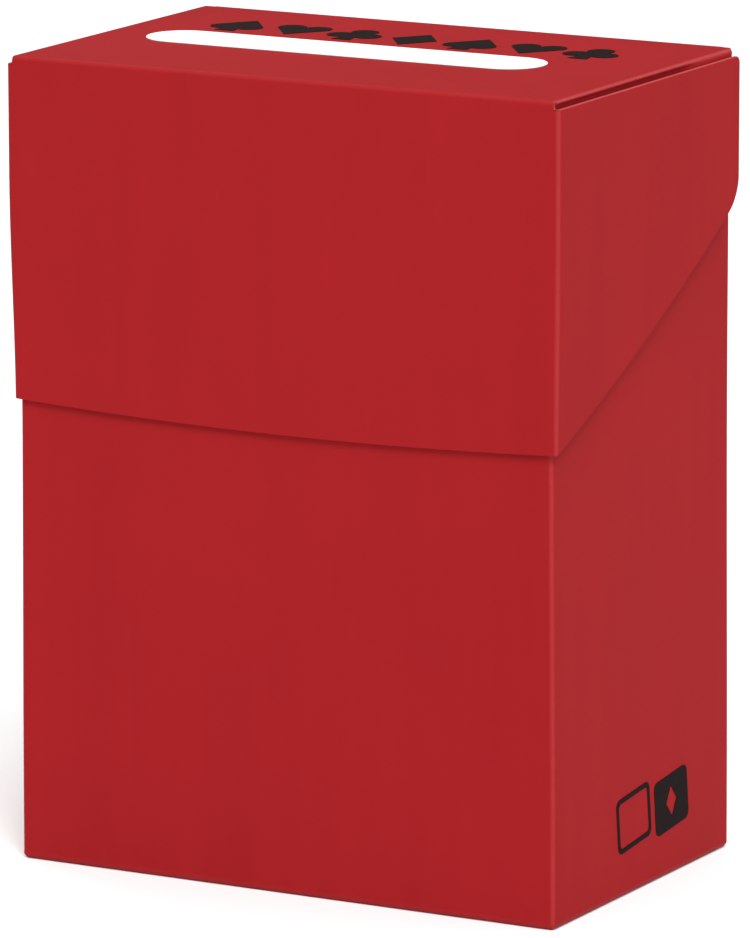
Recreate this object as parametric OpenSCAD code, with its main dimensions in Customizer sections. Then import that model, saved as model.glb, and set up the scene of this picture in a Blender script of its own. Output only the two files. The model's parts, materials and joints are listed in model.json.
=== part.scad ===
// Flip-top deck box folded from one die-cut polypropylene sheet, with a loose card divider.
// Millimetres. The origin is the middle of the base, +Z is up, -Y is the front, +X is the right side.

/* [Cards] */
// Width of a sleeved card
sleeve_w = 66; // [60:0.5:75]
// Height of a sleeved card
sleeve_h = 91; // [85:0.5:105]
// Number of sleeved cards the box holds
card_count = 80; // [70:5:120]
// Thickness of one sleeved card
sleeved_card_t = 0.54; // [0.5:0.01:0.7]

/* [Clearances] */
// Room on each side of the cards
side_room = 1.5; // [1:0.1:3]
// Room along the stack of cards, which also takes the divider
stack_room = 0.6; // [0.6:0.1:4]
// Room above the cards
head_room = 3.3; // [3:0.1:8]
// Gap between the lid and the body
lid_gap = 0.1; // [0.1:0.05:0.3]

/* [Sheet] */
// Thickness of the plastic sheet
sheet_t = 0.5; // [0.4:0.05:0.6]
// Outer radius of a fold
fold_r = 0.9; // [0.8:0.05:1.2]
// Half thickness of the thinned crease that the lid turns on
film_r = 0.15; // [0.1:0.01:0.2]

/* [Lid] */
// Height of the lid's front flap at its two sides
flap_h = 40.4; // [36:0.2:44]
// How far the flap's lower edge bows down in the middle
flap_bow = 1; // [0.5:0.1:2]
// Height of the lid's wings at the back
wing_back_h = 17.6; // [16.8:0.2:22]
// How far each wing's slanted edge bows down in the middle
wing_bow = 1.05; // [0.5:0.05:1.5]
// Radius of each wing's lower back corner
wing_corner_r = 5; // [2:0.5:6]
// Height of the tabs inside the wings
tab_h = 13.5; // [8:0.5:14]

/* [Body] */
// How far the front wall stops below the top of the box
front_drop = 10; // [8:0.5:14]
// Width of the thumb notch at its top
notch_w = 30; // [20:1:36]
// Depth of the thumb notch
notch_d = 9; // [6:0.5:12]
// Width of the flap that closes the body's seam
seam_w = 14; // [10:1:20]
// Reach of the two flaps under the bottom's side folds
dust_flap_w = 21; // [14:1:28]
// Height of the flap that the bottom tucks inside the back wall
tuck_h = 13; // [9:0.5:16]
// Diameter of a weld spot
weld_d = 3; // [2:0.5:4]

/* [Divider] */
// Height of the divider without its tab
divider_h = 88; // [80:0.5:89]
// Width of the divider's tab
divider_tab_w = 20; // [12:1:30]
// Height of the divider's tab
divider_tab_h = 4; // [2:0.5:4.5]

/* [Prints] */
// Length of the white write-on strip
label_l = 52; // [40:1:56]
// Width of the write-on strip
label_w = 9; // [6:0.2:10]
// Distance between neighbouring suit pips on the lid
pip_pitch = 7.8; // [7.2:0.2:8.6]
// Height of a suit pip
pip_h = 8.2; // [5:0.2:8.4]
// Height of the card icons on the side
icon_h = 6.6; // [5:0.2:9]

/* [Hidden] */
$fn = 96;
arc_fn = 720;        // facets on the very large, flat arcs
cut = 1;             // how far a cutting shape runs past what it cuts

body_w = sleeve_w + 2 * side_room + 2 * sheet_t;
body_d = card_count * sleeved_card_t + stack_room + 2 * sheet_t;
box_h = sleeve_h + head_room + 3 * sheet_t;
floor_z = 2 * sheet_t;                    // the bottom panel and the flaps on it
inner_r = fold_r - sheet_t;

// The lid's top and tabs fit over the body, and the wings fit over the tabs
tab_x = body_w / 2 + lid_gap;             // inner face of a tab
wing_x = tab_x + sheet_t;                 // inner face of a wing
lid_w = 2 * (wing_x + sheet_t);
lid_front_y = -body_d / 2 - lid_gap - sheet_t;
wing_drop = 0.05;                         // from the end of the tab fold down to the wing's top edge
top_z = box_h - sheet_t;                  // underside of the lid's top
wing_top_z = box_h - fold_r - wing_drop;
flap_side_z = box_h - flap_h;
wing_back_z = box_h - wing_back_h;

// The crease that the lid turns on lies in the outer skin at the top of the back wall
hinge_y = body_d / 2 - film_r;
hinge_z = box_h - film_r;
crease_w = 0.8;                           // from the turning line to each full-thickness edge
wall_top_z = hinge_z - crease_w;
lid_back_y = hinge_y - crease_w;

front_top_z = box_h - front_drop;
notch_r = (pow(notch_w / 2, 2) + pow(notch_d, 2)) / (2 * notch_d);
relief = 0.6;                             // corner relief between neighbouring folds
slope_front = 2;                          // the side walls' sloping top edges start this far behind the front
slope_back = 8;                           // and end this far before the back
flap_room = 1;                            // room at each end of the bottom flaps and the tuck flap
dust_taper = 5;                           // how far the ends of each kind of flap slant
tuck_taper = 4;
seam_taper = 6;
tab_taper = 4;
seam_lift = 2;                            // from the bottom flaps up to the seam flap
seam_weld_count = 4;
seam_weld_ends = 0.7;                     // from the base to the first seam weld, in steps between welds

divider_corner_r = 3;
divider_lift = 0.3;                       // running gap over the bottom flaps
divider_gap = 0.6;                        // between the divider at rest and the bottom's tuck flap
divider_y = body_d / 2 - 2 * sheet_t - divider_gap;
weld_h = 0.15;                            // how far a weld button stands proud
print_t = 0.06;                           // thickness of an ink layer
label_t = 0.1;                            // thickness of the write-on strip
label_blunt = 0.01;                       // the strip's corner radius is this much under half its width
label_x = -3.4;                           // middle of the strip
label_y = -1.1;
pip_count = 7;
pip_row_y = 9.6;                          // the row of pips is centred left to right
icon_y = 2.4;                             // middle of the icons on the side
icon_z = 8.9;

red = [0.67, 0.15, 0.16];
ink = [0.08, 0.07, 0.07];
white = [0.95, 0.95, 0.94];
milky = [0.86, 0.87, 0.87];

// ---- Shapes shared by the panels ----

// Half of a fold, seen along the crease: 45 degrees of bent sheet, starting at angle a
module half_bend(a) {
    intersection() {
        difference() {
            circle(r = fold_r);
            circle(r = inner_r);
        }
        rotate(a) polygon([[0, 0], [2 * fold_r, 0], [2 * fold_r, 2 * fold_r]]);
    }
}

// A panel seen edge on: its outer face lies on y = 0 from x = 0 to x = len, and each end that
// folds carries its half of the fold
module panel_edge(len, fold_start = true, fold_end = true) {
    start = fold_start ? fold_r : 0;
    end = fold_end ? fold_r : 0;
    translate([start, 0]) square([len - start - end, sheet_t]);
    if (fold_start) translate([fold_r, fold_r]) half_bend(225);
    if (fold_end) translate([len - fold_r, fold_r]) half_bend(270);
}

// Stands a shape drawn in X and Z upright, y0 to y1 deep
module upright_xz(y0, y1) {
    translate([0, y1, 0]) rotate([90, 0, 0]) linear_extrude(y1 - y0) children();
}

// Stands a shape drawn in Y and Z upright, x0 to x1 wide
module upright_yz(x0, x1) {
    translate([x0, 0, 0]) rotate([90, 0, 90]) linear_extrude(x1 - x0) children();
}

// A rectangle with round corners
module round_rect(w, h, r) {
    square([w - 2 * r, h], center = true);
    square([w, h - 2 * r], center = true);
    for (x = [-1, 1], y = [-1, 1]) translate([x * (w / 2 - r), y * (h / 2 - r)]) circle(r = r);
}

// A flap whose free edge is shorter than its fold: len along X, h along Y, ends tapered
module tapered_flap(len, h, taper) {
    polygon([[-len / 2, 0], [len / 2, 0], [len / 2 - taper, h], [-len / 2 + taper, h]]);
}

// ---- Body ----

module back_wall() {
    color(red)
    translate([0, 0, sheet_t])
    linear_extrude(wall_top_z - sheet_t)
    translate([body_w / 2, body_d / 2]) rotate(180) panel_edge(body_w);
}

module front_wall() {
    color(red)
    difference() {
        translate([0, 0, sheet_t])
        linear_extrude(front_top_z - sheet_t)
        translate([-body_w / 2, -body_d / 2]) panel_edge(body_w);
        upright_xz(-body_d / 2 - cut, -body_d / 2 + sheet_t + cut)
        translate([0, front_top_z - notch_d + notch_r]) circle(r = notch_r);
    }
}

// The side walls' top edges slope down to meet the lower front wall
module side_outline() {
    polygon([[-body_d / 2 - cut, sheet_t], [body_d / 2 + cut, sheet_t],
             [body_d / 2 + cut, wall_top_z], [body_d / 2 - slope_back, wall_top_z],
             [-body_d / 2 + slope_front, front_top_z], [-body_d / 2 - cut, front_top_z]]);
}

module side_wall() {
    intersection() {
        linear_extrude(box_h)
        translate([body_w / 2, -body_d / 2]) rotate(90) panel_edge(body_d);
        upright_yz(0, body_w) side_outline();
    }
}

module right_wall() {
    color(red) side_wall();
}

module left_wall() {
    color(red) mirror([1, 0, 0]) side_wall();
}

// Folded from the back wall and welded inside the left wall
module seam_flap() {
    seam_low_z = floor_z + seam_lift;
    color(red)
    translate([0, body_d / 2 - fold_r, (seam_low_z + front_top_z) / 2])
    upright_yz(-body_w / 2 + sheet_t, -body_w / 2 + 2 * sheet_t)
    rotate(90) tapered_flap(front_top_z - seam_low_z, seam_w, seam_taper);
}

module seam_welds() {
    pitch = front_top_z / (seam_weld_count - 1 + 2 * seam_weld_ends);
    color(red)
    for (i = [0:seam_weld_count - 1])
        translate([-body_w / 2 + 2 * sheet_t, body_d / 2 - fold_r - seam_w / 2,
                   pitch * (i + seam_weld_ends)])
        rotate([0, 90, 0]) cylinder(d = weld_d, h = weld_h);
}

module bottom_panel() {
    color(red)
    linear_extrude(sheet_t)
    round_rect(body_w, body_d, fold_r);
}

module dust_flap() {
    translate([body_w / 2 - sheet_t, 0, sheet_t])
    linear_extrude(sheet_t)
    rotate(90) tapered_flap(body_d - 4 * sheet_t - 2 * flap_room, dust_flap_w, dust_taper);
}

module bottom_right_flap() {
    color(red) dust_flap();
}

module bottom_left_flap() {
    color(red) mirror([1, 0, 0]) dust_flap();
}

// Folded up from the bottom panel's back edge, inside the back wall
module bottom_tuck_flap() {
    color(red)
    translate([0, 0, sheet_t])
    upright_xz(body_d / 2 - 2 * sheet_t, body_d / 2 - sheet_t)
    tapered_flap(body_w - 4 * sheet_t - 2 * flap_room, tuck_h, tuck_taper);
}

module bottom_welds() {
    color(red)
    for (x = [-1, 1], y = [-1, 1])
        translate([x * (body_w / 2 - dust_flap_w / 2), y * body_d / 5, floor_z])
        cylinder(d = weld_d, h = weld_h);
}

// The thinned line of sheet that the lid turns on: a round bead on the turning line, and the
// web that joins it to the back wall
module hinge_crease() {
    color(red)
    upright_yz(-body_w / 2 + fold_r, body_w / 2 - fold_r)
    translate([hinge_y, hinge_z]) {
        circle(r = film_r);
        translate([-film_r, -crease_w]) square([2 * film_r, crease_w]);
    }
}

// ---- Lid ----

// The top panel with its halves of the front fold and of the two tab folds
module lid_top() {
    top_half_w = tab_x + sheet_t;
    tab_len = lid_back_y - lid_front_y - fold_r - relief;
    color(red) {
        translate([-top_half_w + fold_r, lid_front_y + fold_r, top_z])
        cube([2 * (top_half_w - fold_r), lid_back_y - lid_front_y - fold_r, sheet_t]);
        upright_yz(-top_half_w + fold_r, top_half_w - fold_r)
        translate([lid_front_y + fold_r, box_h - fold_r]) half_bend(90);
        for (side = [0, 1]) mirror([side, 0, 0])
        upright_xz(lid_back_y - tab_len, lid_back_y)
        translate([top_half_w - fold_r, box_h - fold_r]) half_bend(45);
    }
}

// The flap's lower edge is a flat arc, lowest in the middle
module flap_outline() {
    arc_r = (pow(lid_w / 2, 2) + pow(flap_bow, 2)) / (2 * flap_bow);
    intersection() {
        translate([-lid_w, flap_side_z - flap_bow])
        square([2 * lid_w, wing_top_z - flap_side_z + flap_bow]);
        translate([0, flap_side_z - flap_bow + arc_r]) circle(r = arc_r, $fn = arc_fn);
    }
}

module lid_front_flap() {
    top_half_w = tab_x + sheet_t;
    color(red) {
        intersection() {
            linear_extrude(box_h)
            translate([-lid_w / 2, lid_front_y]) panel_edge(lid_w);
            upright_xz(lid_front_y - cut, lid_front_y + fold_r + cut) flap_outline();
        }
        upright_yz(-top_half_w + fold_r, top_half_w - fold_r)
        translate([lid_front_y, wing_top_z]) square([sheet_t, box_h - fold_r - wing_top_z]);
        upright_yz(-top_half_w + fold_r, top_half_w - fold_r)
        translate([lid_front_y + fold_r, box_h - fold_r]) half_bend(135);
    }
}

// A wing in Y and Z: its lower edge is a flat arc from the front fold up to the back corner
module wing_outline() {
    front = [lid_front_y, flap_side_z];
    back = [body_d / 2, wing_back_z];
    chord = norm(back - front);
    slope = atan2(back[1] - front[1], back[0] - front[0]);
    arc_r = (pow(chord / 2, 2) + pow(wing_bow, 2)) / (2 * wing_bow);
    middle = (front + back) / 2;
    centre = middle + (arc_r - wing_bow) * [-sin(slope), cos(slope)];
    corner_y = back[0] - wing_corner_r;
    reach = arc_r - wing_corner_r;
    corner_z = centre[1] - sqrt(pow(reach, 2) - pow(corner_y - centre[0], 2));
    corner = [corner_y, corner_z];
    toward = (corner - centre) / reach;
    difference() {
        intersection() {
            translate([lid_front_y, flap_side_z - 2 * wing_bow])
            square([back[0] - lid_front_y, wing_top_z - flap_side_z + 2 * wing_bow]);
            translate(centre) circle(r = arc_r, $fn = arc_fn);
        }
        polygon([corner, corner + [2 * wing_corner_r, 0],
                 corner + [2 * wing_corner_r, -2 * wing_corner_r],
                 corner + 2 * wing_corner_r * toward]);
    }
    translate(corner) circle(r = wing_corner_r);
}

module wing() {
    intersection() {
        linear_extrude(box_h)
        translate([lid_w / 2, lid_front_y])
        rotate(90) panel_edge(body_d / 2 - lid_front_y, fold_end = false);
        upright_yz(0, lid_w) wing_outline();
    }
}

module lid_right_wing() {
    color(red) wing();
}

module lid_left_wing() {
    color(red) mirror([1, 0, 0]) wing();
}

// A tab folded down from the top's side and glued inside the wing
module tab() {
    tab_len = lid_back_y - lid_front_y - fold_r - relief;
    upright_xz(lid_back_y - tab_len, lid_back_y)
    translate([wing_x - fold_r, box_h - fold_r]) half_bend(0);
    translate([0, lid_back_y - tab_len / 2, box_h - fold_r])
    upright_yz(tab_x, wing_x)
    rotate(180) tapered_flap(tab_len, tab_h, tab_taper);
}

module lid_right_tab() {
    color(red) tab();
}

module lid_left_tab() {
    color(red) mirror([1, 0, 0]) tab();
}

// ---- Label and prints ----

module write_on_strip() {
    color(white)
    translate([label_x, label_y, box_h])
    linear_extrude(label_t)
    round_rect(label_l, label_w, label_w / 2 - label_blunt);
}

module diamond_pip(h) {
    polygon([[0, -h / 2], [h * 0.36, 0], [0, h / 2], [-h * 0.36, 0]]);
}

module heart_pip(h) {
    lobe_r = h * 0.25;
    lobe_y = h / 2 - lobe_r;
    // where a line from the point touches a lobe
    span = norm([lobe_r, lobe_y + h / 2]);
    turn = atan2(lobe_r, lobe_y + h / 2) + asin(lobe_r / span);
    side = sqrt(pow(span, 2) - pow(lobe_r, 2)) * [sin(turn), cos(turn)];
    for (x = [-1, 1]) translate([x * lobe_r, lobe_y]) circle(r = lobe_r);
    polygon([[0, -h / 2], [side[0], side[1] - h / 2], [0, lobe_y], [-side[0], side[1] - h / 2]]);
}

module pip_stem(h) {
    polygon([[-h * 0.16, -h / 2], [h * 0.16, -h / 2], [h * 0.06, 0], [-h * 0.06, 0]]);
}

module spade_pip(h) {
    translate([0, h * 0.09]) rotate(180) heart_pip(h * 0.82);
    pip_stem(h);
}

module club_pip(h) {
    leaf_r = h * 0.215;
    translate([0, h / 2 - leaf_r]) circle(r = leaf_r);
    for (x = [-1, 1]) translate([x * h * 0.235, -h * 0.06]) circle(r = leaf_r);
    square([h * 0.3, h * 0.3], center = true);
    pip_stem(h);
}

// A row of playing-card suits between the strip and the back edge
module lid_pips() {
    color(ink)
    translate([-pip_pitch * (pip_count - 1) / 2, pip_row_y, box_h])
    linear_extrude(print_t)
    for (i = [0:pip_count - 1]) translate([i * pip_pitch, 0]) {
        if (i % 4 == 0) spade_pip(pip_h);
        if (i % 4 == 1) heart_pip(pip_h * 0.84);
        if (i % 4 == 2) club_pip(pip_h * 0.94);
        if (i % 4 == 3) diamond_pip(pip_h);
    }
}

// Two playing cards low on the right side: one in outline, one solid with a cut-out pip
module side_icon() {
    card_w = icon_h * 1.28;
    line = icon_h * 0.09;
    lean = 6;
    step = card_w * 0.57;
    color(ink)
    translate([0, icon_y, icon_z])
    upright_yz(body_w / 2, body_w / 2 + print_t) {
        translate([-step, 0]) rotate(lean) difference() {
            round_rect(card_w, icon_h, line * 1.6);
            round_rect(card_w - 2 * line, icon_h - 2 * line, line);
        }
        translate([step, 0]) rotate(lean) difference() {
            round_rect(card_w, icon_h, line * 1.6);
            diamond_pip(icon_h * 0.56);
        }
    }
}

// ---- Divider ----

module divider_outline() {
    translate([0, divider_h / 2]) round_rect(sleeve_w, divider_h, divider_corner_r);
    tab_z = divider_h + divider_tab_h / 2 - divider_corner_r / 2;
    translate([0, tab_z])
    round_rect(divider_tab_w, divider_tab_h + divider_corner_r, divider_corner_r - 1);
}

module divider() {
    color(milky)
    translate([0, 0, floor_z + divider_lift])
    upright_xz(divider_y - sheet_t, divider_y) divider_outline();
}

back_wall();
front_wall();
left_wall();
right_wall();
seam_flap();
seam_welds();
bottom_panel();
bottom_left_flap();
bottom_right_flap();
bottom_tuck_flap();
bottom_welds();
hinge_crease();
side_icon();
lid_top();
lid_front_flap();
lid_left_wing();
lid_right_wing();
lid_left_tab();
lid_right_tab();
write_on_strip();
lid_pips();
divider();
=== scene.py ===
# Looks of the flip-top card deck box: thin folded plastic panels, label, prints and divider, built around
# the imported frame. Metres, +Z up, -Y is the front, +X is the right side.
import functools
import json
import math

import bpy
import numpy as np
from mathutils import Matrix, Vector


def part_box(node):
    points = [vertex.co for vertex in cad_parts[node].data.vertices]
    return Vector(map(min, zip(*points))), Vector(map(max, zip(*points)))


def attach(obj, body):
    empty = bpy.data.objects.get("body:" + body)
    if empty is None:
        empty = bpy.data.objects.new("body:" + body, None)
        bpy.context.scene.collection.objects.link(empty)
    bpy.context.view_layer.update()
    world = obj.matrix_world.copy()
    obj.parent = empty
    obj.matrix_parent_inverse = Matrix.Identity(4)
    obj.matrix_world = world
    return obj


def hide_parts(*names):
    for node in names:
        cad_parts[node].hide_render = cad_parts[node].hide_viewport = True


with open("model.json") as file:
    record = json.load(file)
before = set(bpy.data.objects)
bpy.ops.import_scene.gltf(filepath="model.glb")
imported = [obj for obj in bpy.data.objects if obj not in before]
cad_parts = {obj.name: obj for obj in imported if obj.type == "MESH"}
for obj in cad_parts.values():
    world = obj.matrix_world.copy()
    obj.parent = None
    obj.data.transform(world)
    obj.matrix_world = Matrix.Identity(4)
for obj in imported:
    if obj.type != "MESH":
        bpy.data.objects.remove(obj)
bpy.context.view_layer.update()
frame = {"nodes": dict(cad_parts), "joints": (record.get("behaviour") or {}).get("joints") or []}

MM = 0.001
X, Y, Z = Vector((1, 0, 0)), Vector((0, 1, 0)), Vector((0, 0, 1))
LOOK = "_look"             # the ending of a piece that is drawn in place of a CAD node

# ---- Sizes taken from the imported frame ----

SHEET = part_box("bottom_panel")[1].z
BODY_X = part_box("right_wall")[1].x
BODY_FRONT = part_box("front_wall")[0].y
BODY_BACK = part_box("back_wall")[1].y
FRONT_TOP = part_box("front_wall")[1].z
BACK_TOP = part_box("back_wall")[1].z
LID_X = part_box("lid_right_wing")[1].x
LID_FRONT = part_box("lid_front_flap")[0].y
LID_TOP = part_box("lid_top")[1].z
LID_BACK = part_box("lid_top")[1].y
TAB_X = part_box("lid_right_tab")[1].x
TAB_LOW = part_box("lid_right_tab")[0].z
WING_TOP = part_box("lid_right_wing")[1].z
FLAP_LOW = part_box("lid_front_flap")[0].z
HINGE = next(Vector(j["pos_m"]) for j in frame["joints"] if j["name"] == "lid_hinge")

# ---- Sizes of the finer shapes ----

FOLD_R = 0.65 * MM         # outer radius of the upright folds
TOP_FOLD_R = 0.55 * MM     # outer radius of the lid's front and side folds
BASE_FOLD_R = 0.8 * MM     # outer radius of the folds round the base
MITRE = math.radians(45)   # each of two panels carries this much of the right-angled fold between them
BASE_TURN = math.radians(84)      # how far a wall's fold turns under the base
BASE_SEAM = 0.16 * MM      # hairline gap round three sides of the base panel
RIM = 0.09 * MM            # rounding of a die-cut edge
GUARD = 0.28 * MM          # a line of vertices this far inside each rim keeps the flats flat
SLOPE_FROM = BODY_FRONT + 2 * MM  # the side walls' sloping edges start just behind the front wall
SLOPE_TO = BODY_BACK - 8 * MM     # and end in front of the back wall
FLARE = 0.38 * MM          # how far the body's side walls lean out at the base
FLARE_FROM = 62 * MM       # height at which they start to lean
FLAP_BOW = 1.0 * MM        # how far the front flap's lower edge bows down
FLAP_SIDE = FLAP_LOW + FLAP_BOW
WING_BOW = 1.05 * MM       # the same for a wing's slanted edge
WING_CORNER_R = 5.0 * MM
WING_TOP_CORNER_R = 0.8 * MM
WING_BACK = LID_TOP - 17.6 * MM
TOE_LEFT = 0.55 * MM       # how far the left wing leans in at the flap's lower edge
TOE_RIGHT = 0.2 * MM
TOE_Y = 0.06 * MM          # the same for the front flap
TOE_BACK = 0.35            # share of the wings' lean that is left at their back edge
RECESS = 0.36 * MM         # how far a tab runs inwards just under its fold, where nothing backs it
RECESS_IN = 0.55 * MM      # height over which a tab dips inwards
RECESS_OUT = 1.2 * MM      # height over which it comes back out
RECESS_H = 4.5 * MM        # height of the whole dip
TAB_TAPER = 4 * MM         # slant of a tab's two ends
CREASE_OUT = LID_TOP - HINGE.z    # the turning line's depth below the outer skin
CREASE_R = 0.09 * MM       # half thickness of the sheet on the turning line
GROOVE_SLOPE = 0.268       # rise of the groove beside the turning line: 15 degrees
NOTCH_HALF, NOTCH_DEPTH, NOTCH_FILLET = 15 * MM, 9 * MM, 2 * MM

# ---- How pale the folds and the cut edges are: stress whitening and wear, with a painted highlight on the lit folds and upper edges ----

WORN_EDGE = 0.35           # most cut edges
LID_LOW_EDGE = 0.15        # the lid's lower edges, left less pale than the lit upper edges
FLAP_TOP_WEAR_AND_HIGHLIGHT = 0.6        # the corners of the flap's upper edge: wear with a painted highlight
WING_TOP_WEAR_AND_HIGHLIGHT = 1.0        # the wings' upper edges: a painted highlight over the wear
UPPER_EDGE = 2 * MM        # what counts as an upper edge, which gets the painted highlight: this far below the wings' tops
SIDE_CREASE_AND_HIGHLIGHT = 0.42         # the upright folds, next to the lid's sharper ones; stress whitening with a painted highlight
BASE_CREASE = 0.3
LID_FRONT_CREASE = 0.15
LID_BACK_CREASE = 0.9
FLAP_CREASE = 0.8          # the folds of the flaps inside the body
CREASE_WIDTH = 0.7 * MM    # how far a flap's fold and the lid's turning line stay pale
UPRIGHT_SHARE = 0.9        # share of an upright fold that is pale

# ---- Spacing of the vertices ----

COARSE, MEDIUM, FINE = 5 * MM, 4 * MM, 3 * MM
NUDGE = 0.01 * MM          # a small move that shows which way a surface runs
FAR = 1.0                  # farther than any panel reaches
BEND_STEPS, BASE_STEPS, CORNER_STEPS = 7, 8, 6


def glide(t):
    """0 to 1 with a soft start and end."""
    t = min(1.0, max(0.0, t))
    return t * t * (3 - 2 * t)


def quarter(n):
    """Angles from 0 to 90 degrees in n steps, both ends included."""
    return [math.pi / 2 * k / n for k in range(n + 1)]


def stations(low, high, step, guard=GUARD, marks=()):
    """Rising values from low to high, no more than step apart, with guard lines at the ends and marks."""
    fixed = {low, high}
    if high - low > 3 * guard:
        fixed |= {low + guard, high - guard}
    for mark in marks:
        fixed |= {m for m in (mark - guard, mark, mark + guard) if low + guard < m < high - guard}
    fixed = sorted(fixed)
    out = [fixed[0]]
    for a, b in zip(fixed, fixed[1:]):
        n = max(1, math.ceil((b - a) / step))
        out += [a + (b - a) * k / n for k in range(1, n + 1)]
    return out


def bend_stations(radius, turn, n=BEND_STEPS):
    """How far past its start a bend of that radius and turn has run, in n steps."""
    return [radius * turn * k / n for k in range(1, n + 1)]


def round_end(start, radius, steps=CORNER_STEPS):
    """Values from start to start + radius, spaced evenly along a quarter circle."""
    return [start + radius * math.sin(a) for a in quarter(steps)]


def arc_height(past, radius):
    """How high a round corner stands over its centre. past is the distance beyond the centre, if any."""
    return math.sqrt(max(0.0, radius ** 2 - max(0.0, past) ** 2))


def flat_grid(us, low, high, step, below=()):
    """A grid of flat points, one column per u, with the same number of rows in each."""
    tallest = max(high(u) - low(u) for u in us)
    shares = np.array(stations(0, tallest, step)) / tallest
    grid = []
    for u in us:
        lo, hi = low(u), high(u)
        rows = [lo - b for b in reversed(below)]
        rows += [lo + (hi - lo) * s for s in shares]
        grid.append([(u, v) for v in rows])
    return np.array(grid)


# ---- Sheet pieces: a flat grid of points, thickened, rim-rounded and bent into place ----

STRAIGHT = 0.02            # two edges that turn by less than this run straight on
LONGEST_MOVE = 2           # limits the inset at a sharp corner


def rim_moves(loop, cut):
    """For each point of a counter-clockwise outline, the move that insets its cut edges by one unit.
    cut[k] says that the edge from point k to the next is die-cut. The others are fold lines."""
    edge = np.roll(loop, -1, axis=0) - loop
    length = np.linalg.norm(edge, axis=1, keepdims=True)
    normal = np.stack([-edge[:, 1], edge[:, 0]], axis=1) / length
    moves = np.zeros_like(loop)
    for k in range(len(loop)):
        n1, n2 = normal[k - 1], normal[k]
        c1, c2 = float(cut[k - 1]), float(cut[k])
        det = n1[0] * n2[1] - n1[1] * n2[0]
        if abs(det) < STRAIGHT:
            moves[k] = (n1 + n2) / (1 + n1 @ n2) * max(c1, c2)
        else:
            moves[k] = ((c1 * n2[1] - c2 * n1[1]) / det, (c2 * n1[0] - c1 * n2[0]) / det)
        size = np.linalg.norm(moves[k])
        if size > LONGEST_MOVE:
            moves[k] *= LONGEST_MOVE / size
    return moves


def rim_profile(thick, rim, steps=3):
    """(inset, depth, turn) down a rounded rim. turn is 0 where the rim faces out of the sheet."""
    upper = [(rim * (1 - math.sin(a)), rim * (1 - math.cos(a)), a) for a in quarter(steps)]
    lower = [(inset, thick - depth, math.pi - a) for inset, depth, a in reversed(upper)]
    return upper + lower


def grid_outline(nu, nv, cut):
    """The outline of a grid as (column, row) pairs, and for each of its edges whether it is die-cut."""
    path = [(i, 0) for i in range(nu - 1)] + [(nu - 1, j) for j in range(nv - 1)]
    path += [(i, nv - 1) for i in range(nu - 1, 0, -1)] + [(0, j) for j in range(nv - 1, 0, -1)]

    def flags(side, n, back=False):
        value = cut.get(side, True)
        value = [value] * n if isinstance(value, bool) else list(value)
        return value[::-1] if back else value

    cuts = flags("v0", nu - 1) + flags("u1", nv - 1)
    cuts += flags("v1", nu - 1, True) + flags("u0", nv - 1, True)
    return path, cuts


class Skin:
    """Collects the vertices of one panel, with their normals and their crease and cut-edge values."""

    def __init__(self, place, crease):
        self.place, self.crease = place, crease
        self.points, self.normals, self.creases, self.edges = [], [], [], []

    def normal_at(self, u, v):
        p = self.place(u, v, 0.0)
        along = self.place(u + NUDGE, v, 0.0) - p
        up = self.place(u, v + NUDGE, 0.0) - p
        return along.cross(up).normalized()

    def out_of_edge(self, u, v, mu, mv):
        """The way out of the sheet at its edge, against the inset move (mu, mv)."""
        reach = math.hypot(mu, mv)
        if reach == 0:
            return None
        e = NUDGE / reach
        return (self.place(u - mu * e, v - mv * e, 0.0) - self.place(u, v, 0.0)).normalized()

    def add(self, u, v, depth, normal, edge=0.0):
        self.points.append(self.place(u, v, depth))
        self.normals.append(normal)
        self.creases.append(self.crease(u, v) if self.crease else 0.0)
        self.edges.append(edge)
        return len(self.points) - 1

    def add_rim(self, u, v, mu, mv, profile, pale):
        """The stack of vertices down the rim at one point of the outline."""
        n = self.normal_at(u, v)
        out = self.out_of_edge(u, v, mu, mv)
        stack = []
        for inset, depth, turn in profile:
            if out is None:
                direction = n if turn <= math.pi / 2 else -n
                edge = 0.0
            else:
                direction = n * math.cos(turn) + out * math.sin(turn)
                edge = math.sin(turn) * pale
            stack.append(self.add(u + mu * inset, v + mv * inset, depth, direction, edge))
        return stack


def sheet_piece(name, grid, place, cut, thick=SHEET, rim=RIM, crease=None, edge_wear_and_highlight=None):
    """Makes one panel. grid is [column, row, (u, v)], and place(u, v, depth) gives a point in the frame.
    cut says for the sides u0, v1, u1, v0 which are die-cut: True, False, or one truth value per edge.
    crease(u, v) and the last argument, a function of (u, v) too, say how pale the folds and the cut edges
    are: stress whitening and edge wear, and on some folds and upper edges a painted highlight."""
    nu, nv = grid.shape[:2]
    path, cuts = grid_outline(nu, nv, cut)
    loop = np.array([grid[i, j] for i, j in path])
    moves = rim_moves(loop, cuts)
    profile = rim_profile(thick, rim)
    skin = Skin(place, crease)
    ring = []
    for (u, v), (mu, mv) in zip(loop, moves):
        ring.append(skin.add_rim(u, v, mu, mv, profile, edge_wear_and_highlight(u, v) if edge_wear_and_highlight else WORN_EDGE))
    front = {ij: ring[k][0] for k, ij in enumerate(path)}
    back = {ij: ring[k][-1] for k, ij in enumerate(path)}
    for i in range(nu):
        for j in range(nv):
            if (i, j) not in front:
                u, v = grid[i, j]
                n = skin.normal_at(u, v)
                front[i, j] = skin.add(u, v, 0.0, n)
                back[i, j] = skin.add(u, v, thick, -n)
    faces = []
    for i in range(nu - 1):
        for j in range(nv - 1):
            square = [(i, j), (i + 1, j), (i + 1, j + 1), (i, j + 1)]
            faces.append([front[c] for c in square])
            faces.append([back[c] for c in reversed(square)])
    for k, a in enumerate(ring):
        b = ring[(k + 1) % len(ring)]
        faces += [[a[r], a[r + 1], b[r + 1], b[r]] for r in range(len(profile) - 1)]
    return mesh_object(name, skin.points, faces, skin.normals, skin.creases, skin.edges)


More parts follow.
